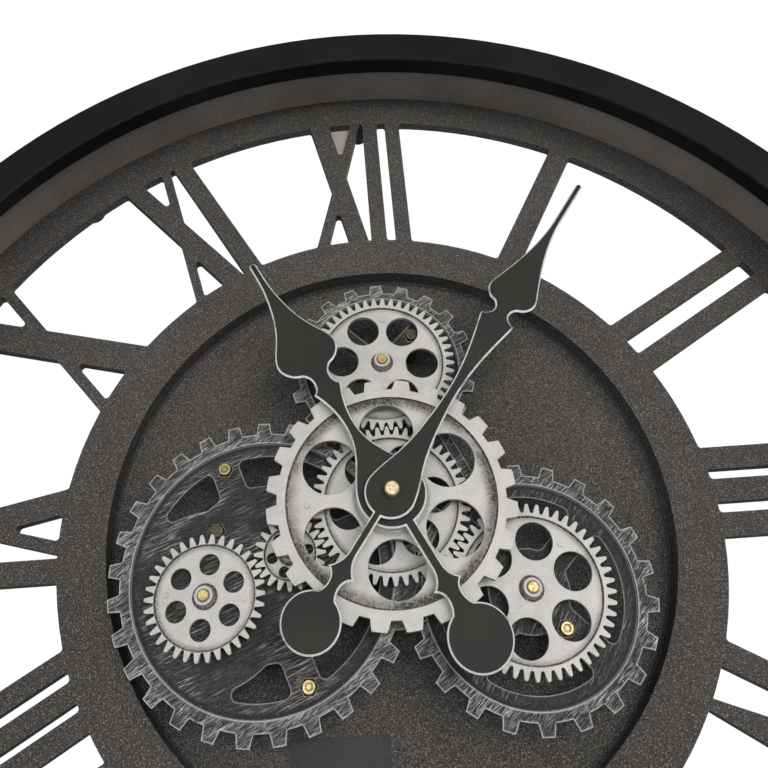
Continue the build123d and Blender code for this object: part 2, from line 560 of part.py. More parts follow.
shell = block(-MOVE_HALF, MOVE_HALF, MOVE_LOW, MOVE_TOP, split_z, pan_back)
shell -= block(-MOVE_HALF + MOVE_WALL, MOVE_HALF - MOVE_WALL, MOVE_LOW + MOVE_WALL, MOVE_TOP - MOVE_WALL,
               split_z - 1, shell_front)
shell += block(-MOVE_HALF, MOVE_HALF, divider_y, divider_y + 1.2, split_z, pan_back)
shell -= disc(BUSH_R, -40, 0)
save("movement_shell", shell)
cover = block(-MOVE_HALF, MOVE_HALF, MOVE_LOW, MOVE_TOP, cover_z, split_z)
cover -= block(-MOVE_HALF + MOVE_WALL, MOVE_HALF - MOVE_WALL, MOVE_LOW + MOVE_WALL, MOVE_TOP - MOVE_WALL,
               cover_z + MOVE_WALL, split_z + 1)
cover -= block(-26, 26, MOVE_LOW + MOVE_WALL, divider_y - 0.6, cover_z - 1, split_z)
cover -= disc(KNOB_SHAFT_R + RUNNING, cover_z - 1, split_z, KNOB_C)
save("movement_cover", cover)
flange_front = shell_front
bush = ring(BUSH_R, BUSH_BORE_R, flange_front - 1.6, HUB_FRONT + 1.6)
save("centre_bush", bush + ring(7, BUSH_BORE_R, flange_front - 1.6, flange_front))
save("bush_washer", ring(9, BUSH_R, PAN_FLOOR_Z, PAN_FLOOR_Z + 1))
nut = slab(RegularPolygon(8, 6).face(), PAN_FLOOR_Z + 1, PAN_FLOOR_Z + 5)
save("bush_nut", nut - disc(BUSH_R, -40, 0))

cannon_z, hour_z, centre_z, third_z = -23.6, -21.7, -25.4, -29.0
WHEEL_THICK = 1.2
cannon_phase = 0.0
motion_phase = mesh_phase(cannon_phase, CANNON_TEETH, MOTION_DIRECTION, MOTION_TEETH)
hour_phase = 0.0
motion_pinion_phase = mesh_phase(hour_phase, HOUR_TEETH, MOTION_DIRECTION, MOTION_PINION_TEETH)
knob_phase = mesh_phase(motion_phase, MOTION_TEETH, KNOB_DIRECTION, KNOB_TEETH)
third_phase = mesh_phase(0.0, CENTRE_TEETH, THIRD_DIRECTION, THIRD_PINION_TEETH)

save("minute_arbor", disc(ARBOR_R, -26.4, MINUTE_HAND_Z + HAND_THICK)
     + ring(4.0, ARBOR_R - 0.5, HOUR_HAND_Z + HAND_THICK + 0.6, MINUTE_HAND_Z))
save("cannon_pinion", small_wheel(CANNON_TEETH, MINUTE_MODULE, cannon_phase, cannon_z, cannon_z + 1.5)
     - disc(ARBOR_R, -40, 0))
save("centre_wheel", small_wheel(CENTRE_TEETH, CENTRE_MODULE, 0.0, centre_z, centre_z + WHEEL_THICK)
     - disc(ARBOR_R, -40, 0))
save("motion_wheel",
     small_wheel(MOTION_TEETH, MINUTE_MODULE, motion_phase, cannon_z, cannon_z + WHEEL_THICK, MOTION_C)
     + small_wheel(MOTION_PINION_TEETH, HOUR_MODULE, motion_pinion_phase, cannon_z + 1, hour_z + 1.3,
                   MOTION_C)
     - disc(PIN_R + RUNNING, -40, 0, MOTION_C))
save("hour_wheel", small_wheel(HOUR_TEETH, HOUR_MODULE, hour_phase, hour_z, hour_z + WHEEL_THICK)
     - disc(SLEEVE_R, -40, 0))
save("hour_sleeve", ring(SLEEVE_R, SLEEVE_BORE_R, hour_z, HOUR_HAND_Z + HAND_THICK)
     + ring(5.0, SLEEVE_BORE_R, HOUR_HAND_Z - 1.6, HOUR_HAND_Z))
save("third_wheel",
     small_wheel(THIRD_TEETH, 0.35, 0.0, third_z, third_z + WHEEL_THICK, THIRD_C)
     + small_wheel(THIRD_PINION_TEETH, CENTRE_MODULE, third_phase, third_z + 1, centre_z + 1.6, THIRD_C)
     - disc(PIN_R + RUNNING, -40, 0, THIRD_C))
pin_back = cover_z + MOVE_WALL
save("movement_pins", disc(PIN_R, cannon_z - 0.3, shell_front, MOTION_C),
     disc(PIN_R, pin_back, shell_front, THIRD_C))
knob_stem = disc(KNOB_SHAFT_R, cover_z - 0.6, cannon_z + 1.2, KNOB_C)
knob_head = disc(4.5, cover_z - 3.2, cover_z - 0.4, KNOB_C)
save("set_knob", knob_stem + knob_head
     + small_wheel(KNOB_TEETH, MINUTE_MODULE, knob_phase, cannon_z, cannon_z + WHEEL_THICK, KNOB_C))
save("circuit_board", block(4, 26, -17.4, -8.4, -27.2, -26.2))
coil_y = -12.6
coil_x, coil_half = 18.5, 4.0
save("motor_coil", Pos(coil_x, coil_y, -22.4) * Rotation(0, 90, 0) * Cylinder(2.8, 2 * coil_half))
save("motor_stator", *[block(x, x + 2.0, coil_y - 4, coil_y + 4, -25.6, -19.4)
                       for x in (coil_x - coil_half - 2.0, coil_x + coil_half)])

# ---------------------------------------------------------------- hands


def hand(half_outline, angle, z, bore_r):
    """A symmetrical hand cut from sheet and turned to its angle."""
    edges = half_outline + [edge.mirror(Plane.YZ) for edge in half_outline]
    blade = slab(Face(Wire(edges)), z, z + HAND_THICK) - disc(bore_r, z - 1, z + 2)
    return Rotation(0, 0, -angle) * blade


def head_arc(centre_y, radius, start, stem_half):
    """The round end at the axis, from a point of the blade down to the tail's stem."""
    foot = (stem_half, centre_y - (radius ** 2 - stem_half ** 2) ** 0.5)
    middle = polar(radius, 130, (0, centre_y))
    return foot, ThreePointArc(start, middle, foot)


def tail_disc(centre_y, radius, joint_x):
    """The round counterweight at the end of a hand's tail."""
    joint_y = centre_y + (radius ** 2 - joint_x ** 2) ** 0.5
    return (joint_x, joint_y), ThreePointArc((joint_x, joint_y), (radius, centre_y), (0, centre_y - radius))


MINUTE_STEM_HALF = 2.1
minute_foot, minute_arc = head_arc(-1.0, 12.7, (12.7, -1), MINUTE_STEM_HALF)
minute_joint, minute_tail = tail_disc(-69.0, 13.7, 4.6)
minute_half = [
    ThreePointArc((0, 216.5), (1.34, 215.94), (1.9, 214.6)),
    Line((1.9, 214.6), (1.9, 184)),
    Spline((1.9, 184), (3.0, 170), (7.2, 150), (12.8, 132.5), (13.9, 127), (12.0, 122.3), (7.4, 119.4)),
    Spline((7.4, 119.4), (5.0, 117), (4.4, 114), (6.0, 111.2), (9.4, 109.6)),
    Line((9.4, 109.6), (9.6, 108)),
    Spline((9.6, 108), (5.6, 89), (3.3, 73), (2.7, 60), (4.0, 38), (7.6, 18), (11.4, 6), (12.7, -1)),
    minute_arc,
    Line(minute_foot, (MINUTE_STEM_HALF, -32)),
    Spline((MINUTE_STEM_HALF, -32), (3.2, -39.5), (7.0, -44.6)),
    Spline((7.0, -44.6), (3.7, -47.6), (3.0, -51.2), minute_joint),
    minute_tail,
]
save("minute_hand", hand(minute_half, MINUTE_ANGLE, MINUTE_HAND_Z, ARBOR_R))

HOUR_STEM_HALF = 2.6
hour_foot, hour_arc = head_arc(0.0, 17.0, (17.0, 0), HOUR_STEM_HALF)
hour_joint, hour_tail = tail_disc(-74.7, 14.9, 5.8)
hour_half = [
    ThreePointArc((0, 152.0), (1.48, 151.38), (2.1, 149.9)),
    Line((2.1, 149.9), (2.1, 141)),
    Spline((2.1, 141), (4.2, 121), (10.8, 101), (15.9, 91.5), (17.2, 86), (15.6, 81), (9.0, 75.9)),
    Spline((9.0, 75.9), (5.8, 73), (4.8, 69), (5.6, 65.4), (7.9, 63.2)),
    Spline((7.9, 63.2), (3.8, 51.5), (2.6, 42), (4.4, 29), (9.4, 18.5), (14.6, 9.5), (17.0, 0)),
    hour_arc,
    Line(hour_foot, (HOUR_STEM_HALF, -40)),
    Spline((HOUR_STEM_HALF, -40), (3.8, -44.8), (7.5, -48.7)),
    Spline((7.5, -48.7), (4.5, -51.6), (3.8, -55.2), hour_joint),
    hour_tail,
]
save("hour_hand", hand(hour_half, HOUR_ANGLE, HOUR_HAND_Z, SLEEVE_R))
cap_low = MINUTE_HAND_Z + HAND_THICK
cap = disc(CAP_R, cap_low, cap_low + 4.2)
save("hand_cap", chamfer(cap.edges().group_by(Axis.Z)[-1], 0.6))
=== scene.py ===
import json
import math

import bmesh
import bpy
from mathutils import Matrix, Vector
from mathutils.geometry import tessellate_polygon


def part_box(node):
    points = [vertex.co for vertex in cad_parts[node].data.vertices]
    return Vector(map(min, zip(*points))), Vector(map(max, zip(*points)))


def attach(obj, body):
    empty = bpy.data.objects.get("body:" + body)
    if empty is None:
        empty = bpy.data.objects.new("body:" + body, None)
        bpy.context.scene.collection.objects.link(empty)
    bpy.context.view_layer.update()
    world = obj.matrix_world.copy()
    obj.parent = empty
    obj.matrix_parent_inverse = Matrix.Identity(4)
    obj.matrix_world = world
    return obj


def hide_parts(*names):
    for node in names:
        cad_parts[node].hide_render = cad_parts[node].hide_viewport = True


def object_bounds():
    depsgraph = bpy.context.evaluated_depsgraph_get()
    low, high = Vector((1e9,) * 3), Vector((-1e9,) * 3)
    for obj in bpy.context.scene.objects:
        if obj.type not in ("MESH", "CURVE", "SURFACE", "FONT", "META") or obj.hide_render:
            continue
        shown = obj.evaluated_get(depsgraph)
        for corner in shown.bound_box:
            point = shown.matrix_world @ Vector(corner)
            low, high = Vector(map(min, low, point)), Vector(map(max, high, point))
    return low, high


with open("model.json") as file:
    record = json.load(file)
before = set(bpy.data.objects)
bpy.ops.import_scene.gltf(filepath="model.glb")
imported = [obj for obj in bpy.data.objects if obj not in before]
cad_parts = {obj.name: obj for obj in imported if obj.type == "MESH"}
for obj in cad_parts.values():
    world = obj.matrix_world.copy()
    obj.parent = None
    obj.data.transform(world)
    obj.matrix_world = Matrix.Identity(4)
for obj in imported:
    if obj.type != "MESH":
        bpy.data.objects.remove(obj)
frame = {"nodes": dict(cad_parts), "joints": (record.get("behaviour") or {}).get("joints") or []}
cad_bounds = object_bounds()
nodes = frame["nodes"]
scene = bpy.context.scene
MM = 0.001
BEVEL_SAMPLES = 6      # rays of the rounded-edge nodes
CORNER_SAMPLES = 8     # rays of the nodes that find dirty corners

# Places in the row frame: the dial faces -Y, the hands' axis runs along Y.
axis_at = {j["child"]: Vector(j["pos_m"]) for j in frame["joints"] if "pos_m" in j}
hub = axis_at["hub"]
DIAL_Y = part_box("dial_plate")[0].y            # front face of the dial
HUB_X, HUB_Z = hub.x, hub.z
LEFT_WHEEL = (hub.x - 0.0651, hub.z - 0.0271)  # the frame plate's left wheel


# ------------------------------------------------------------------ camera

def make_camera():
    """Close to the glass, below the middle of the dial, looking up at it."""
    roll = math.radians(4.1)         # the clock hangs a little turned
    lens_mm, shift_x, shift_y = 36.328, 17 / 768, -99 / 768
    from_hub = (-0.0154, -0.412, -0.1033)

    def to_row(x, y, z):
        gx = x * math.cos(roll) + y * math.sin(roll)
        gy = -x * math.sin(roll) + y * math.cos(roll)
        return Vector((gx, -z, gy))

    right = to_row(0.99994, 0.0054, -0.00915)
    up = to_row(0.0, 0.86096, 0.50867)
    back = right.cross(up)
    up = back.cross(right)
    data = bpy.data.cameras.new("camera")
    data.sensor_width = 36.0
    data.lens = lens_mm
    data.shift_x = shift_x
    data.shift_y = shift_y
    data.clip_start, data.clip_end = 0.01, 50
    cam = bpy.data.objects.new("camera", data)
    scene.collection.objects.link(cam)
    turn = Matrix((right.normalized(), up.normalized(), back.normalized())).transposed().to_4x4()
    place = Vector((hub.x, DIAL_Y, hub.z)) + Vector(from_hub)
    cam.matrix_world = Matrix.Translation(place) @ turn
    scene.camera = cam


make_camera()


# ------------------------------------------------------------------ shader building

class Shader:
    """A Principled material and short names for the nodes that feed it."""

    def __init__(self, name):
        self.mat = bpy.data.materials.new(name)
        self.mat.use_nodes = True
        self.tree = self.mat.node_tree
        self.tree.nodes.clear()
        out = self.node("ShaderNodeOutputMaterial")
        self.bsdf = self.node("ShaderNodeBsdfPrincipled")
        self.tree.links.new(self.bsdf.outputs[0], out.inputs[0])
        self.place = self.node("ShaderNodeTexCoord").outputs["Object"]

    def node(self, kind, **settings):
        made = self.tree.nodes.new(kind)
        for key, value in settings.items():
            setattr(made, key, value)
        return made

    def put(self, socket, value):
        if isinstance(value, bpy.types.NodeSocket):
            self.tree.links.new(value, socket)
        elif isinstance(value, tuple) and socket.type == "RGBA" and len(value) == 3:
            socket.default_value = (*value, 1.0)
        else:
            socket.default_value = value

    def math(self, operation, a, b=0.0, clamp=False):
        n = self.node("ShaderNodeMath", operation=operation, use_clamp=clamp)
        self.put(n.inputs[0], a)
        self.put(n.inputs[1], b)
        return n.outputs[0]

    def times(self, a, b):
        return self.math("MULTIPLY", a, b)

    def most(self, *values):
        best = values[0]
        for value in values[1:]:
            best = self.math("MAXIMUM", best, value)
        return best

    def step(self, value, low, high, out_low=0.0, out_high=1.0):
        """Smooth step of value from low to high."""
        n = self.node("ShaderNodeMapRange", interpolation_type="SMOOTHSTEP")
        self.put(n.inputs[0], value)
        if low > high:
            low, high, out_low, out_high = high, low, out_high, out_low
        for index, number in enumerate((low, high, out_low, out_high), 1):
            n.inputs[index].default_value = number
        return n.outputs[0]

    def vector(self, scale=(1, 1, 1), shift=(0, 0, 0)):
        """The place, scaled along the axes and shifted."""
        n = self.node("ShaderNodeMapping", vector_type="POINT")
        self.put(n.inputs[0], self.place)
        n.inputs[1].default_value = shift
        n.inputs[3].default_value = scale
        return n.outputs[0]

    def streaks(self, rise, length_mm, width_mm, seed=0.0):
        """Noise drawn out into strokes that rise to the right by an angle, seen from the front."""
        n = self.node("ShaderNodeMapping", vector_type="TEXTURE")
        self.put(n.inputs[0], self.place)
        n.inputs[1].default_value = (seed, seed, seed)
        n.inputs[2].default_value = (0, math.radians(-rise), 0)
        n.inputs[3].default_value = (length_mm * MM, width_mm * MM, width_mm * MM)
        return self.noise(1.0, 4.0, 0.68, n.outputs[0])

    def noise(self, scale, detail=2.0, rough=0.5, source=None):
        n = self.node("ShaderNodeTexNoise")
        self.put(n.inputs["Vector"], source or self.place)
        n.inputs["Scale"].default_value = scale
        n.inputs["Detail"].default_value = detail
        n.inputs["Roughness"].default_value = rough
        n.inputs["Distortion"].default_value = 0.0
        return n.outputs[0]

    def cells(self, scale, source=None):
        """Distance to the nearest point and a random number of its cell."""
        n = self.node("ShaderNodeTexVoronoi", feature="F1")
        self.put(n.inputs["Vector"], source or self.place)
        n.inputs["Scale"].default_value = scale
        split = self.node("ShaderNodeSeparateColor")
        self.put(split.inputs[0], n.outputs["Color"])
        return n.outputs["Distance"], split.outputs[0]

    def mix(self, fac, a, b):
        n = self.node("ShaderNodeMix", data_type="RGBA")
        self.put(n.inputs[0], fac)
        self.put(n.inputs[6], a)
        self.put(n.inputs[7], b)
        return n.outputs[2]

    def shade(self, colour, factor):
        """Colour multiplied by a factor."""
        n = self.node("ShaderNodeMix", data_type="RGBA", blend_type="MULTIPLY")
        n.inputs[0].default_value = 1.0
        self.put(n.inputs[6], colour)
        grey = self.node("ShaderNodeCombineColor")
        for index in range(3):
            self.put(grey.inputs[index], factor)
        self.put(n.inputs[7], grey.outputs[0])
        return n.outputs[2]

    def axes(self):
        n = self.node("ShaderNodeSeparateXYZ")
        self.put(n.inputs[0], self.place)
        return n.outputs

    def radius(self, x, z):
        """Distance from the line along Y through (x, z), in mm."""
        px, _, pz = self.axes()
        dx, dz = self.math("SUBTRACT", px, x), self.math("SUBTRACT", pz, z)
        square = self.math("ADD", self.times(dx, dx), self.times(dz, dz))
        return self.times(self.math("SQRT", square), 1000.0)

    def rims(self, spread_mm):
        """1 along outward edges, 0 on flat faces."""
        bevel = self.node("ShaderNodeBevel", samples=BEVEL_SAMPLES)
        bevel.inputs[0].default_value = spread_mm * MM
        flat = self.node("ShaderNodeNewGeometry").outputs["Normal"]
        dot = self.node("ShaderNodeVectorMath", operation="DOT_PRODUCT")
        self.put(dot.inputs[0], bevel.outputs[0])
        self.put(dot.inputs[1], flat)
        return self.step(dot.outputs["Value"], 0.99, 0.86)

    def hollows(self, reach_mm):
        """1 deep in corners, 0 in the open."""
        n = self.node("ShaderNodeAmbientOcclusion", samples=CORNER_SAMPLES, only_local=False)
        n.inputs["Distance"].default_value = reach_mm * MM
        return self.step(n.outputs["AO"], 0.92, 0.35)

    def rounded(self, radius_mm):
        n = self.node("ShaderNodeBevel", samples=BEVEL_SAMPLES)
        n.inputs[0].default_value = radius_mm * MM
        return n.outputs[0]

    def bump(self, height, depth_mm, normal=None):
        n = self.node("ShaderNodeBump")
        n.inputs["Strength"].default_value = 1.0
        n.inputs["Distance"].default_value = depth_mm * MM
        self.put(n.inputs["Height"], height)
        if normal is not None:
            self.put(n.inputs["Normal"], normal)
        self.put(self.bsdf.inputs["Normal"], n.outputs[0])

    def set(self, **values):
        names = {"colour": "Base Color", "metal": "Metallic", "rough": "Roughness", "ior": "IOR",
                 "alpha": "Alpha", "coat": "Coat Weight", "coat_rough": "Coat Roughness",
                 "spec": "Specular IOR Level"}
        for key, value in values.items():
            self.put(self.bsdf.inputs[names[key]], value)
        return self


def paint(material, *names):
    for name in names:
        for place in nodes[name].material_slots:
            place.material = material


# ------------------------------------------------------------------ materials

def speckled(name, dark=(0.013, 0.0118, 0.0108), mid=(0.086, 0.0795, 0.0745), fleck=(0.360, 0.338, 0.318)):
    """Matt hammered paint full of fine bright grains."""
    s = Shader(name)
    near, pick = s.cells(1500)
    bright = s.times(s.step(near, 0.52, 0.24), s.step(pick, 0.50, 0.98, 0.0, 0.72))
    near2, pick2 = s.cells(2600, s.vector(shift=(0.31, 0.17, 0.23)))
    fine = s.times(s.times(s.step(near2, 0.55, 0.25), s.step(pick2, 0.35, 0.90)), 0.34)
    grain = s.noise(1150, 3.0, 0.75)
    body = s.mix(s.step(grain, 0.30, 0.70), dark, mid)
    body = s.shade(body, s.step(s.noise(7, 3.0, 0.55), 0.3, 0.7, 0.90, 1.10))
    s.set(colour=s.mix(s.most(bright, fine), body, fleck), rough=s.step(grain, 0.3, 0.7, 0.66, 0.82),
          spec=0.10)
    s.bump(s.math("ADD", grain, s.times(near, -0.6)), 0.07)
    return s.mat


def enamel_case():
    """Satin black outside; matt brown-grey inside the drum, below the lip, where the colour is made about
    four times paler as painted light in place of the light the lip keeps off.
    """
    s = Shader("case_enamel")
    r = s.radius(HUB_X, HUB_Z)
    _, y, _ = s.axes()
    inside = s.times(s.step(r, 296.5, 295.6), s.step(y, -0.0942, -0.0934))
    peel = s.noise(420, 2.0, 0.5)
    dust = s.step(s.noise(900, 4.0, 0.7), 0.60, 0.78)
    smear = s.step(s.noise(16, 3.0, 0.6), 0.35, 0.7)
    outer = s.mix(s.times(smear, 0.5), (0.0110, 0.0106, 0.0105), (0.0180, 0.0175, 0.0172))
    outer = s.mix(s.times(dust, 0.10), outer, (0.16, 0.155, 0.15))
    # inside wall: brown-grey, made much paler than its own colour as painted light
    grain = s.noise(700, 3.0, 0.6)
    wall_with_painted_light = s.mix(s.step(grain, 0.3, 0.7), (0.200, 0.182, 0.169), (0.262, 0.241, 0.225))
    wall_with_painted_light = s.shade(wall_with_painted_light, s.step(s.noise(22, 2.0, 0.5), 0.3, 0.7, 0.90, 1.10))
    # painted highlight: paler colour along the outer edges of the black enamel
    edge = s.times(s.rims(0.7), s.math("SUBTRACT", 1.0, inside))
    outer = s.mix(s.times(edge, 0.20), outer, (0.16, 0.155, 0.15))
    s.set(colour=s.mix(inside, outer, wall_with_painted_light), rough=s.step(inside, 0.0, 1.0, 0.46, 0.80),
          spec=0.05)
    s.bump(peel, 0.05, s.rounded(1.0))
    return s.mat


def black_band():
    """Smooth black band that holds the glass."""
    s = Shader("retainer_black")
    grain = s.noise(600, 3.0, 0.6)
    cloud = s.noise(18, 2.0, 0.5)
    colour = s.mix(s.step(cloud, 0.3, 0.7), (0.0068, 0.0060, 0.0058), (0.0110, 0.0098, 0.0094))
    s.set(colour=colour, rough=s.step(grain, 0.3, 0.7, 0.46, 0.6), spec=0.10)
    s.bump(grain, 0.03, s.rounded(0.5))
    return s.mat


def antique(name, centre, washes, tone=(0.500, 0.484, 0.467)):
    """Silver paint with a dark, grainy wash left in the grooves, and painted shade darkening every corner.
    washes: (radius, outward fade, inward fade, strength), mm from the wheel's own centre."""
    s = Shader(name)
    r = s.radius(centre.x, centre.z)
    grain = s.noise(2300, 3.0, 0.7)
    patch = s.noise(110, 3.0, 0.6)
    pits = s.step(s.noise(1500, 2.0, 0.5), 0.38, 0.26)
    ragged = s.times(s.math("SUBTRACT", s.noise(900, 4.0, 0.8), 0.5), 3.2)
    uneven = s.step(s.noise(48, 2.0, 0.5), 0.32, 0.62, 0.45, 1.15)
    base = s.shade(tone, s.step(grain, 0.25, 0.75, 0.84, 1.14))
    base = s.shade(base, s.step(patch, 0.3, 0.7, 0.93, 1.06))
    # painted shade: ambient occlusion darkens every corner towards the dark colour; the pits and the radial
    # washes are the finish's own
    masks = [s.times(s.hollows(2.6), 0.95), s.times(pits, 0.42)]
    for where, outward, inward, strength in washes:
        off = s.math("SUBTRACT", r, where)
        line = s.times(s.step(off, outward, 0.0), s.step(off, -inward, -0.12 * inward))
        line = s.math("MULTIPLY", line, s.math("ADD", 1.0, ragged), clamp=True)
        masks.append(s.times(s.times(line, uneven) if inward > 2.0 else line, strength))
    wash_and_shade_mask = s.math("MINIMUM", s.most(*masks), 0.95)
    wash_and_shade_colour = s.mix(s.step(grain, 0.3, 0.7), (0.026, 0.023, 0.021), (0.062, 0.056, 0.051))
    colour = s.mix(wash_and_shade_mask, base, wash_and_shade_colour)
    edge = s.times(s.rims(0.35), s.step(s.noise(260, 2.0, 0.5), 0.40, 0.62))
    colour = s.mix(s.times(edge, 0.35), colour, (0.76, 0.75, 0.73))
    s.set(colour=colour, metal=0.20, spec=s.step(wash_and_shade_mask, 0.2, 0.9, 0.30, 0.06),
          rough=s.math("ADD", s.step(grain, 0.3, 0.7, 0.50, 0.62), s.times(wash_and_shade_mask, 0.2)))
    s.bump(s.math("ADD", grain, s.times(patch, 0.6)), 0.045, s.rounded(0.22))
    return s.mat


def dry_brushed():
    """Black casting with silver dry-brushed over rims, teeth and edges."""
    s = Shader("frame_dry_brush")
    _, y, _ = s.axes()
    raised = s.step(y, DIAL_Y - 0.0138, DIAL_Y - 0.0146)
    flat_web = s.step(raised, 1.0, 0.0)
    right_wheel = (axis_at["right_wheel"].x, axis_at["right_wheel"].z)
    right_side = s.step(s.radius(*right_wheel), 64.0, 60.0)
    gentle = s.most(s.step(s.streaks(22, 18, 0.60, 0.1), 0.53, 0.65),
                    s.times(s.step(s.streaks(17, 7, 0.28, 0.5), 0.54, 0.68), 0.8))
    steep = s.step(s.streaks(55, 9, 0.36, 0.8), 0.54, 0.70)
    lines = s.most(s.times(gentle, s.step(right_side, 1.0, 0.0)), s.times(steep, right_side))
    # the brush hits the web in patches; the step below each rim is kept unbrushed and dark as painted shade
    # of the rim
    rim_shade_band = s.step(s.radius(*LEFT_WHEEL), 60.5, 63.0)
    right_rim_shade_band = s.step(s.radius(*right_wheel), 48.0, 50.2)
    rim_shade_band = s.most(s.times(rim_shade_band, s.step(right_side, 1.0, 0.0)), s.times(right_rim_shade_band, right_side))
    patches = s.step(s.noise(34, 3.0, 0.6), 0.40, 0.60, 0.12, 1.0)
    web = s.times(s.times(lines, patches), s.step(rim_shade_band, 1.0, 0.0))
    scratch = s.most(s.step(s.streaks(38, 5, 0.30, 0.3), 0.50, 0.64), s.times(lines, 0.8))
    rim = s.times(scratch, s.step(s.noise(70, 3.0, 0.6), 0.34, 0.62, 0.26, 0.95))
    edge = s.times(s.rims(1.5), s.step(s.noise(240, 3.0, 0.6), 0.22, 0.42))
    mask = s.most(s.times(web, s.times(flat_web, 0.85)), s.times(rim, raised),
                  s.times(edge, s.step(raised, 0.0, 1.0, 0.55, 1.0)))
    base = s.mix(s.step(s.noise(800, 3.0, 0.6), 0.3, 0.7), (0.022, 0.0215, 0.021), (0.046, 0.0445, 0.043))
    # painted shade: the black turns nearly black deep in corners and holes
    base = s.mix(s.hollows(2.4), base, (0.007, 0.007, 0.007))
    bright = s.mix(s.noise(900, 2.0, 0.5), (0.40, 0.39, 0.377), (0.72, 0.70, 0.68))
    s.set(colour=s.mix(mask, base, bright), metal=0.15, spec=s.step(mask, 0.0, 1.0, 0.08, 0.30),
          rough=s.step(mask, 0.0, 1.0, 0.66, 0.50))
    s.bump(s.math("ADD", s.noise(600, 3.0, 0.6), s.times(mask, 0.8)), 0.08, s.rounded(0.5))
    return s.mat


def turned_brass(name="brass_turned", tone=(0.56, 0.44, 0.19), dull=()):
    """Aged brass, with painted shade making it dark brown in its grooves. dull: places (x, z) around which
    the colour is made darker.
    """
    s = Shader(name)
    grain = s.noise(1500, 3.0, 0.6)
    tarnish = s.step(s.noise(420, 3.0, 0.7), 0.38, 0.66)
    colour = s.mix(s.times(tarnish, 0.6), tone, (0.20, 0.135, 0.055))
    colour = s.shade(colour, s.step(grain, 0.3, 0.7, 0.82, 1.14))
    edge = s.rims(0.3)
    colour = s.mix(s.times(edge, 0.45), colour, (0.78, 0.66, 0.40))
    # painted shade: ambient occlusion darkens grooves and corners
    wash_and_shade_mask = s.times(s.hollows(1.6), 1.0)
    for x, z in dull:
        wash_and_shade_mask = s.most(wash_and_shade_mask, s.times(s.step(s.radius(x, z), 4.5, 4.0), 0.86))
    colour = s.mix(wash_and_shade_mask, colour, (0.040, 0.032, 0.025))
    s.set(colour=colour, metal=0.6, rough=s.step(tarnish, 0.0, 1.0, 0.34, 0.52))
    s.bump(grain, 0.03, s.rounded(0.2))
    return s.mat


def bare_steel(name, tone, rough=0.38, metal=0.9):
    s = Shader(name)
    brushed = s.noise(700, 4.0, 0.65, s.vector((1, 1, 14)))
    spots = s.step(s.noise(90, 3.0, 0.6), 0.45, 0.75)
    colour = s.shade(tone, s.step(brushed, 0.3, 0.7, 0.82, 1.12))
    colour = s.mix(s.times(spots, 0.28), colour, tuple(c * 0.45 for c in tone))
    edge = s.rims(0.35)
    colour = s.mix(s.times(edge, 0.35), colour, tuple(min(1, c * 1.5) for c in tone))
    s.set(colour=colour, metal=metal, rough=s.step(brushed, 0.3, 0.7, rough - 0.08, rough + 0.1))
    s.bump(brushed, 0.025, s.rounded(0.25))
    return s.mat


def moulded(name, dark, light, rough=0.55, texture_mm=0.06):
    """Fine-textured moulding with a painted highlight: slightly paler edges."""
    s = Shader(name)
    spark = s.noise(1700, 3.0, 0.6)
    cloud = s.noise(35, 3.0, 0.6)
    colour = s.mix(s.step(cloud, 0.3, 0.7), dark, light)
    # painted highlight along the edges
    edge = s.times(s.rims(0.4), 0.35)
    colour = s.mix(edge, colour, tuple(min(1, c * 1.9 + 0.02) for c in light))
    colour = s.shade(colour, s.step(spark, 0.3, 0.7, 0.90, 1.08))
    s.set(colour=colour, rough=s.step(spark, 0.3, 0.7, rough - 0.06, rough + 0.08), spec=0.2)
    s.bump(spark, texture_mm, s.rounded(0.3))
    return s.mat


def black_with_edge_highlight():
    """Blackened steel with a painted highlight along its outer edge."""
    s = Shader("blackened_washer")
    grain = s.noise(1400, 3.0, 0.6)
    colour = s.shade((0.0075, 0.0070, 0.0065), s.step(grain, 0.3, 0.7, 0.7, 1.4))
    # painted highlight: a pale rim along the outer edge
    edge = s.times(s.rims(0.9), s.step(s.noise(500, 2.0, 0.5), 0.30, 0.50, 0.5, 1.0))
    s.set(colour=s.mix(edge, colour, (0.34, 0.30, 0.22)), rough=0.5, spec=0.15)
    s.bump(grain, 0.03, s.rounded(0.2))
    return s.mat


def glass():
    s = Shader("clear_glass")
    film = s.step(s.noise(9, 3.0, 0.6), 0.45, 0.75)
    s.set(colour=s.mix(film, (0.010, 0.012, 0.011), (0.06, 0.065, 0.062)), rough=s.times(film, 0.05),
          spec=0.3, ior=1.14, alpha=0.012)
    s.mat.surface_render_method = "BLENDED"
    return s.mat


def cell_wrap():
    """Shrink-wrapped cell: dark sleeve, a copper-coloured band at the button end."""
    s = Shader("cell_wrap")
    x, _, _ = s.axes()
    band = s.step(x, 0.0135, 0.0137)
    tip = s.step(x, 0.0232, 0.0235)
    crinkle = s.noise(260, 3.0, 0.6, s.vector((0.2, 1, 1)))
    colour = s.mix(band, (0.020, 0.024, 0.034), (0.42, 0.20, 0.075))
    colour = s.mix(tip, colour, (0.55, 0.55, 0.56))
    colour = s.shade(colour, s.step(crinkle, 0.3, 0.7, 0.88, 1.10))
    s.set(colour=colour, rough=0.24, metal=s.step(x, 0.0135, 0.0137, 0.1, 0.75), coat=0.3, coat_rough=0.15)
    s.bump(crinkle, 0.05, s.rounded(0.3))
    return s.mat


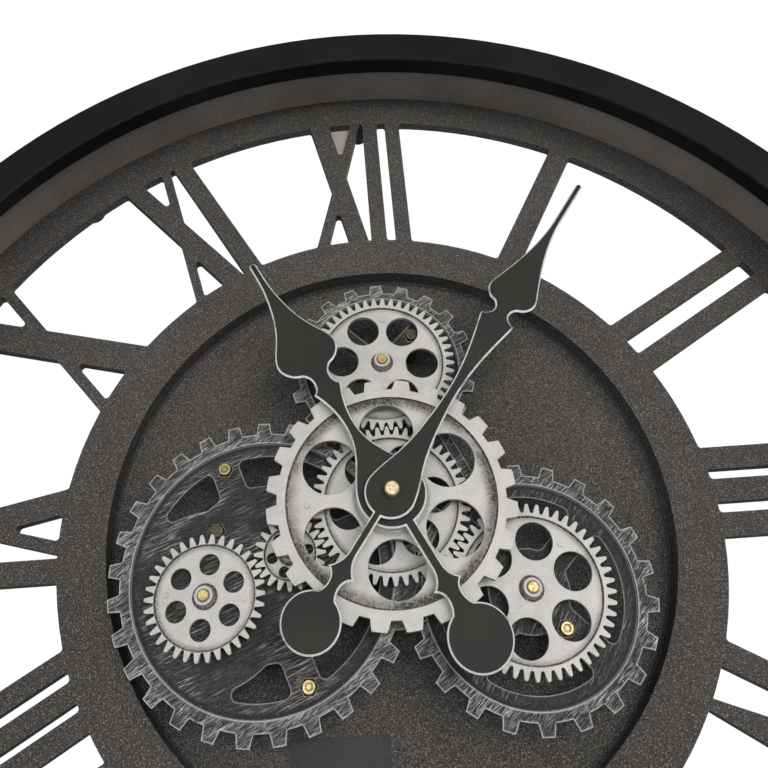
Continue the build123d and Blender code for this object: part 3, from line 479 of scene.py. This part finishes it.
def board_green():
    s = Shader("solder_resist")
    traces = s.step(s.noise(520, 1.0, 0.3, s.vector((1, 1, 0.15))), 0.50, 0.53)
    pads, pick = s.cells(420)
    tin = s.times(s.step(pads, 0.22, 0.18), s.step(pick, 0.72, 0.74))
    colour = s.mix(traces, (0.012, 0.070, 0.030), (0.024, 0.125, 0.052))
    colour = s.mix(tin, colour, (0.62, 0.62, 0.60))
    s.set(colour=colour, rough=0.3, metal=s.times(tin, 0.9))
    s.bump(traces, 0.03)
    return s.mat


def wound_copper():
    s = Shader("winding_wire")
    wave = s.node("ShaderNodeTexWave", wave_type="BANDS", bands_direction="X")
    s.put(wave.inputs["Vector"], s.place)
    wave.inputs["Scale"].default_value = 1600
    wave.inputs["Distortion"].default_value = 0.6
    turns = wave.outputs[1]
    colour = s.mix(turns, (0.16, 0.045, 0.015), (0.62, 0.24, 0.09))
    s.set(colour=colour, rough=0.32, metal=0.8)
    s.bump(turns, 0.10)
    return s.mat


# the two hand finishes
def hand_black():
    s = Shader("hand_satin_black")
    grain = s.noise(900, 3.0, 0.6)
    cloud = s.noise(30, 3.0, 0.6)
    colour = s.mix(s.step(cloud, 0.3, 0.7), (0.0265, 0.0272, 0.0240), (0.0320, 0.0324, 0.0286))
    motes = s.step(s.noise(1500, 2.0, 0.5), 0.70, 0.76)
    colour = s.mix(s.times(motes, 0.25), colour, (0.30, 0.29, 0.27))
    s.set(colour=colour, rough=s.step(grain, 0.3, 0.7, 0.50, 0.62), spec=0.09)
    s.bump(grain, 0.02)
    return s.mat


def hand_silver():
    s = Shader("hand_cut_edge")
    grain = s.noise(1900, 3.0, 0.65)
    wear = s.step(s.noise(90, 4.0, 0.7), 0.54, 0.66)
    colour = s.shade((0.97, 0.965, 0.95), s.step(grain, 0.25, 0.75, 0.88, 1.05))
    colour = s.mix(s.times(wear, 0.6), colour, (0.14, 0.135, 0.13))
    s.set(colour=colour, metal=0.25, rough=s.step(grain, 0.3, 0.7, 0.24, 0.40))
    s.bump(grain, 0.02)
    return s.mat


dial_mat = speckled("dial_speckle")
paint(dial_mat, "dial_plate", "recess_pan")
paint(enamel_case(), "case_ring")
paint(black_band(), "glass_retainer")
paint(glass(), "glass_pane")
paint(dry_brushed(), "frame_plate")
fine_wash = {
    "top_gear": ("top_wheel", 33.7, 4.4), "right_gear": ("right_wheel", 33.7, 4.4),
    "left_gear": ("left_wheel", 23.9, 4.4), "idler_gear": ("idler", 12.6, 4.1),
    "central_fine_gear": ("hub", 33.7, 8.0),
}
for gear_name, (body, rim, boss) in fine_wash.items():
    washes = [(rim, 0.5, 1.3, 1.0), (rim, 0.1, 3.4, 0.50), (boss + 1.3, 0.7, 1.9, 1.0)]
    paint(antique(gear_name + "_silver", axis_at[body], washes), gear_name)
paint(antique("large_gear_silver", hub,
              [(52.0, 0.35, 2.0, 1.0), (52.0, 0.1, 8.0, 0.85), (18.4, 1.2, 1.2, 0.35)]), "large_gear")
brass = turned_brass()
dull_screws = [(hub.x - 0.088, hub.z - 0.007), (hub.x + 0.0195, hub.z + 0.096)]
paint(turned_brass("brass_screws", (0.52, 0.42, 0.19), dull_screws), "frame_screws")
paint(brass, "axle_pins", "centre_bush", "bush_nut", "minute_arbor", "hour_sleeve", "movement_pins")
paint(turned_brass("brass_cap", (0.66, 0.58, 0.38)), "hand_cap")
steel = bare_steel("zinc_steel", (0.42, 0.42, 0.42))
paint(steel, "rear_screws", "hanger_bracket", "rear_hoop", "hub_clip", "bush_washer",
      "drive_lid_screws", "drive_motor", "motor_stator", "battery_contacts", "bush_collar")
paint(bare_steel("hub_steel", (0.34, 0.335, 0.325), 0.45, 0.5), "hub_tube")
paint(bare_steel("post_steel", (0.05, 0.05, 0.05), 0.5, 0.4), "standoff_posts", "frame_posts")
paint(black_with_edge_highlight(), "frame_washers")
paint(moulded("lug_black", (0.012, 0.012, 0.012), (0.022, 0.021, 0.020), 0.6), "rear_lugs")
paint(bare_steel("pale_zinc", (0.42, 0.39, 0.38), 0.6, 0.10), "fixing_tab")
paint(moulded("black_moulding", (0.016, 0.016, 0.016), (0.028, 0.028, 0.027)),
      "drive_wheel", "drive_pinion", "drive_housing", "drive_lid", "switch_base", "movement_shell",
      "movement_cover", "set_knob")
paint(moulded("white_acetal", (0.62, 0.61, 0.58), (0.72, 0.71, 0.68), 0.42), "output_wheel", "motor_pinion",
      "motion_wheel", "hour_wheel", "cannon_pinion", "centre_wheel", "third_wheel", "switch_slider")
paint(moulded("soft_rubber", (0.020, 0.020, 0.020), (0.032, 0.031, 0.030), 0.78, 0.12), "rubber_bumpers")
paint(moulded("plaque_paint", (0.036, 0.034, 0.035), (0.046, 0.043, 0.044), 0.60), "pan_plaque")
paint(cell_wrap(), "aa_cells")
paint(board_green(), "circuit_board")
paint(wound_copper(), "motor_coil")
black_hand, silver_edge = hand_black(), hand_silver()


# ------------------------------------------------------------------ hands with cut edges

def front_loops(obj):
    """The outlines of a flat plate's front face (towards -Y), each a list of (x, z)."""
    bm = bmesh.new()
    bm.from_mesh(obj.data)
    bmesh.ops.remove_doubles(bm, verts=bm.verts, dist=1e-6)
    low = min(v.co.y for v in bm.verts)
    front = {f for f in bm.faces if all(abs(v.co.y - low) < 1e-5 for v in f.verts)}
    rim = [e for e in bm.edges if len([f for f in e.link_faces if f in front]) == 1
           and all(abs(v.co.y - low) < 1e-5 for v in e.verts)]
    beside = {}
    for e in rim:
        a, b = e.verts
        beside.setdefault(a, []).append(b)
        beside.setdefault(b, []).append(a)
    loops, seen = [], set()
    for start in beside:
        if start in seen:
            continue
        loop, last, here = [], None, start
        while here not in seen:
            seen.add(here)
            loop.append((here.co.x, here.co.z))
            ahead = [v for v in beside[here] if v != last and v not in seen]
            if not ahead:
                break
            last, here = here, ahead[0]
        loops.append(loop)
    high = max(v.co.y for v in bm.verts)
    bm.free()
    return sorted(loops, key=lambda l: -abs(area(l))), low, high


def area(loop):
    return sum(a[0] * b[1] - b[0] * a[1] for a, b in zip(loop, loop[1:] + loop[:1])) / 2


def resampled(loop, gap):
    """Add points so that no side is longer than gap."""
    out = []
    for a, b in zip(loop, loop[1:] + loop[:1]):
        steps = max(1, math.ceil(math.dist(a, b) / gap))
        out += [(a[0] + (b[0] - a[0]) * k / steps, a[1] + (b[1] - a[1]) * k / steps) for k in range(steps)]
    return out


def to_loop(point, loop):
    """Distance from a point to an outline."""
    best = 1e9
    for a, b in zip(loop, loop[1:] + loop[:1]):
        dx, dz = b[0] - a[0], b[1] - a[1]
        size = dx * dx + dz * dz
        t = 0 if size == 0 else max(0, min(1, ((point[0] - a[0]) * dx + (point[1] - a[1]) * dz) / size))
        best = min(best, math.hypot(point[0] - a[0] - t * dx, point[1] - a[1] - t * dz))
    return best


def inset(loop, width):
    """Inner outline at a width from the loop, and for each point of the loop the inner point it joins."""
    count = len(loop)
    kept, owner = [], [None] * count
    for i, p in enumerate(loop):
        a, b = loop[i - 1], loop[(i + 1) % count]
        d1 = Vector((p[0] - a[0], p[1] - a[1])).normalized()
        d2 = Vector((b[0] - p[0], b[1] - p[1])).normalized()
        n1, n2 = Vector((-d1.y, d1.x)), Vector((-d2.y, d2.x))
        middle = (n1 + n2)
        if middle.length < 1e-6:
            continue
        middle.normalize()
        reach = width / max(0.35, middle.dot(n1))
        q = (p[0] + middle.x * reach, p[1] + middle.y * reach)
        if to_loop(q, loop) > width * 0.985:
            owner[i] = len(kept)
            kept.append(q)
    known = [i for i in range(count) if owner[i] is not None]
    for i in range(count):
        if owner[i] is None:
            nearest = min(known, key=lambda k: min((i - k) % count, (k - i) % count))
            owner[i] = owner[nearest]
    return kept, owner


def cut_edge_hand(name, node, body, bevel_mm, drop_mm):
    loops, front, rear = front_loops(nodes[node])
    outer = resampled(loops[0], 0.0008)
    if area(outer) < 0:
        outer.reverse()
    holes = loops[1:]
    inner, owner = inset(outer, bevel_mm * MM)
    mesh = bpy.data.meshes.new(name)
    bm = bmesh.new()
    top = [bm.verts.new((x, front, z)) for x, z in inner]
    rim = [bm.verts.new((x, front + drop_mm * MM, z)) for x, z in outer]
    back = [bm.verts.new((x, rear, z)) for x, z in outer]
    hole_front = [[bm.verts.new((x, front, z)) for x, z in h] for h in holes]
    hole_back = [[bm.verts.new((x, rear, z)) for x, z in h] for h in holes]

    def face(verts, slot):
        unique = []
        for v in verts:
            if v not in unique:
                unique.append(v)
        if len(unique) < 3:
            return
        made = bm.faces.new(unique)
        made.material_index = slot
        made.smooth = slot == 1

    count = len(outer)
    for i in range(count):
        j = (i + 1) % count
        face([rim[i], rim[j], top[owner[j]], top[owner[i]]], 1)
        face([back[i], back[j], rim[j], rim[i]], 1)
    for ring_front, ring_back in zip(hole_front, hole_back):
        for i in range(len(ring_front)):
            j = (i + 1) % len(ring_front)
            face([ring_front[i], ring_front[j], ring_back[j], ring_back[i]], 0)
    for verts, y in ((top, front), (back, rear)):
        rings = [verts] + (hole_front if y == front else hole_back)
        flat = [v for r in rings for v in r]
        lines = [[Vector((v.co.x, v.co.z, 0)) for v in r] for r in rings]
        for tri in tessellate_polygon(lines):
            face([flat[k] for k in tri], 0)
    bmesh.ops.recalc_face_normals(bm, faces=bm.faces)
    for e in bm.edges:
        if len(e.link_faces) == 2 and e.link_faces[0].normal.angle(e.link_faces[1].normal, 0) > 0.45:
            e.smooth = False
    bm.to_mesh(mesh)
    bm.free()
    mesh.materials.append(black_hand)
    mesh.materials.append(silver_edge)
    piece = bpy.data.objects.new(name, mesh)
    scene.collection.objects.link(piece)
    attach(piece, body)
    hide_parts(node)
    return piece


cut_edge_hand("minute_hand_cut", "minute_hand", "minute", 0.8, 1.0)
cut_edge_hand("hour_hand_cut", "hour_hand", "hour", 0.8, 1.0)


# ------------------------------------------------------------------ floor, light, sky

def soft_light(name, place, size, power, target):
    data = bpy.data.lights.new(name, "AREA")
    data.shape = "RECTANGLE"
    data.size, data.size_y = size
    data.energy = power
    lamp = bpy.data.objects.new(name, data)
    lamp.location = place
    lamp.rotation_euler = (Vector(target) - Vector(place)).to_track_quat("-Z", "Y").to_euler()
    scene.collection.objects.link(lamp)


middle = Vector((HUB_X, DIAL_Y, HUB_Z))
soft_light("key", middle + Vector((0.85, -2.2, 0.35)), (1.5, 1.5), 24, middle)
soft_light("fill_left", middle + Vector((-2.0, -2.2, 0.2)), (1.6, 1.6), 16, middle)
soft_light("fill_low", middle + Vector((0.1, -1.9, -0.12)), (1.8, 0.35), 15, middle)
soft_light("rear", middle + Vector((1.2, 2.4, 1.4)), (2.0, 2.0), 40, middle)

FLOOR_R = 2.05
FLOOR_GAP = 0.03         # the clock hangs this far above the floor
low = cad_bounds[0].z - FLOOR_GAP
floor_mesh = bpy.data.meshes.new("floor")
bm = bmesh.new()
bmesh.ops.create_circle(bm, cap_ends=True, segments=96, radius=FLOOR_R)
bmesh.ops.translate(bm, verts=bm.verts, vec=(HUB_X, -0.2, low))
bm.to_mesh(floor_mesh)
bm.free()
floor = bpy.data.objects.new("floor", floor_mesh)
scene.collection.objects.link(floor)
pale = Shader("pale_floor")
pale.set(colour=pale.mix(pale.noise(3, 2.0, 0.5), (0.78, 0.78, 0.77), (0.82, 0.82, 0.81)), rough=0.7)
floor_mesh.materials.append(pale.mat)

world = bpy.data.worlds.new("studio")
scene.world = world
world.use_nodes = True
tree = world.node_tree
tree.nodes.clear()
sky_out = tree.nodes.new("ShaderNodeOutputWorld")
mixer = tree.nodes.new("ShaderNodeMixShader")
path = tree.nodes.new("ShaderNodeLightPath")
ambient = tree.nodes.new("ShaderNodeBackground")
ambient.inputs[0].default_value = (1.0, 0.995, 0.985, 1)
ambient.inputs[1].default_value = 0.18
seen = tree.nodes.new("ShaderNodeBackground")
seen.inputs[0].default_value = (1, 1, 1, 1)
seen.inputs[1].default_value = 1.05
tree.links.new(path.outputs["Is Camera Ray"], mixer.inputs[0])
tree.links.new(ambient.outputs[0], mixer.inputs[1])
tree.links.new(seen.outputs[0], mixer.inputs[2])
tree.links.new(mixer.outputs[0], sky_out.inputs[0])
scene.view_settings.view_transform = "Standard"

bpy.context.view_layer.update()
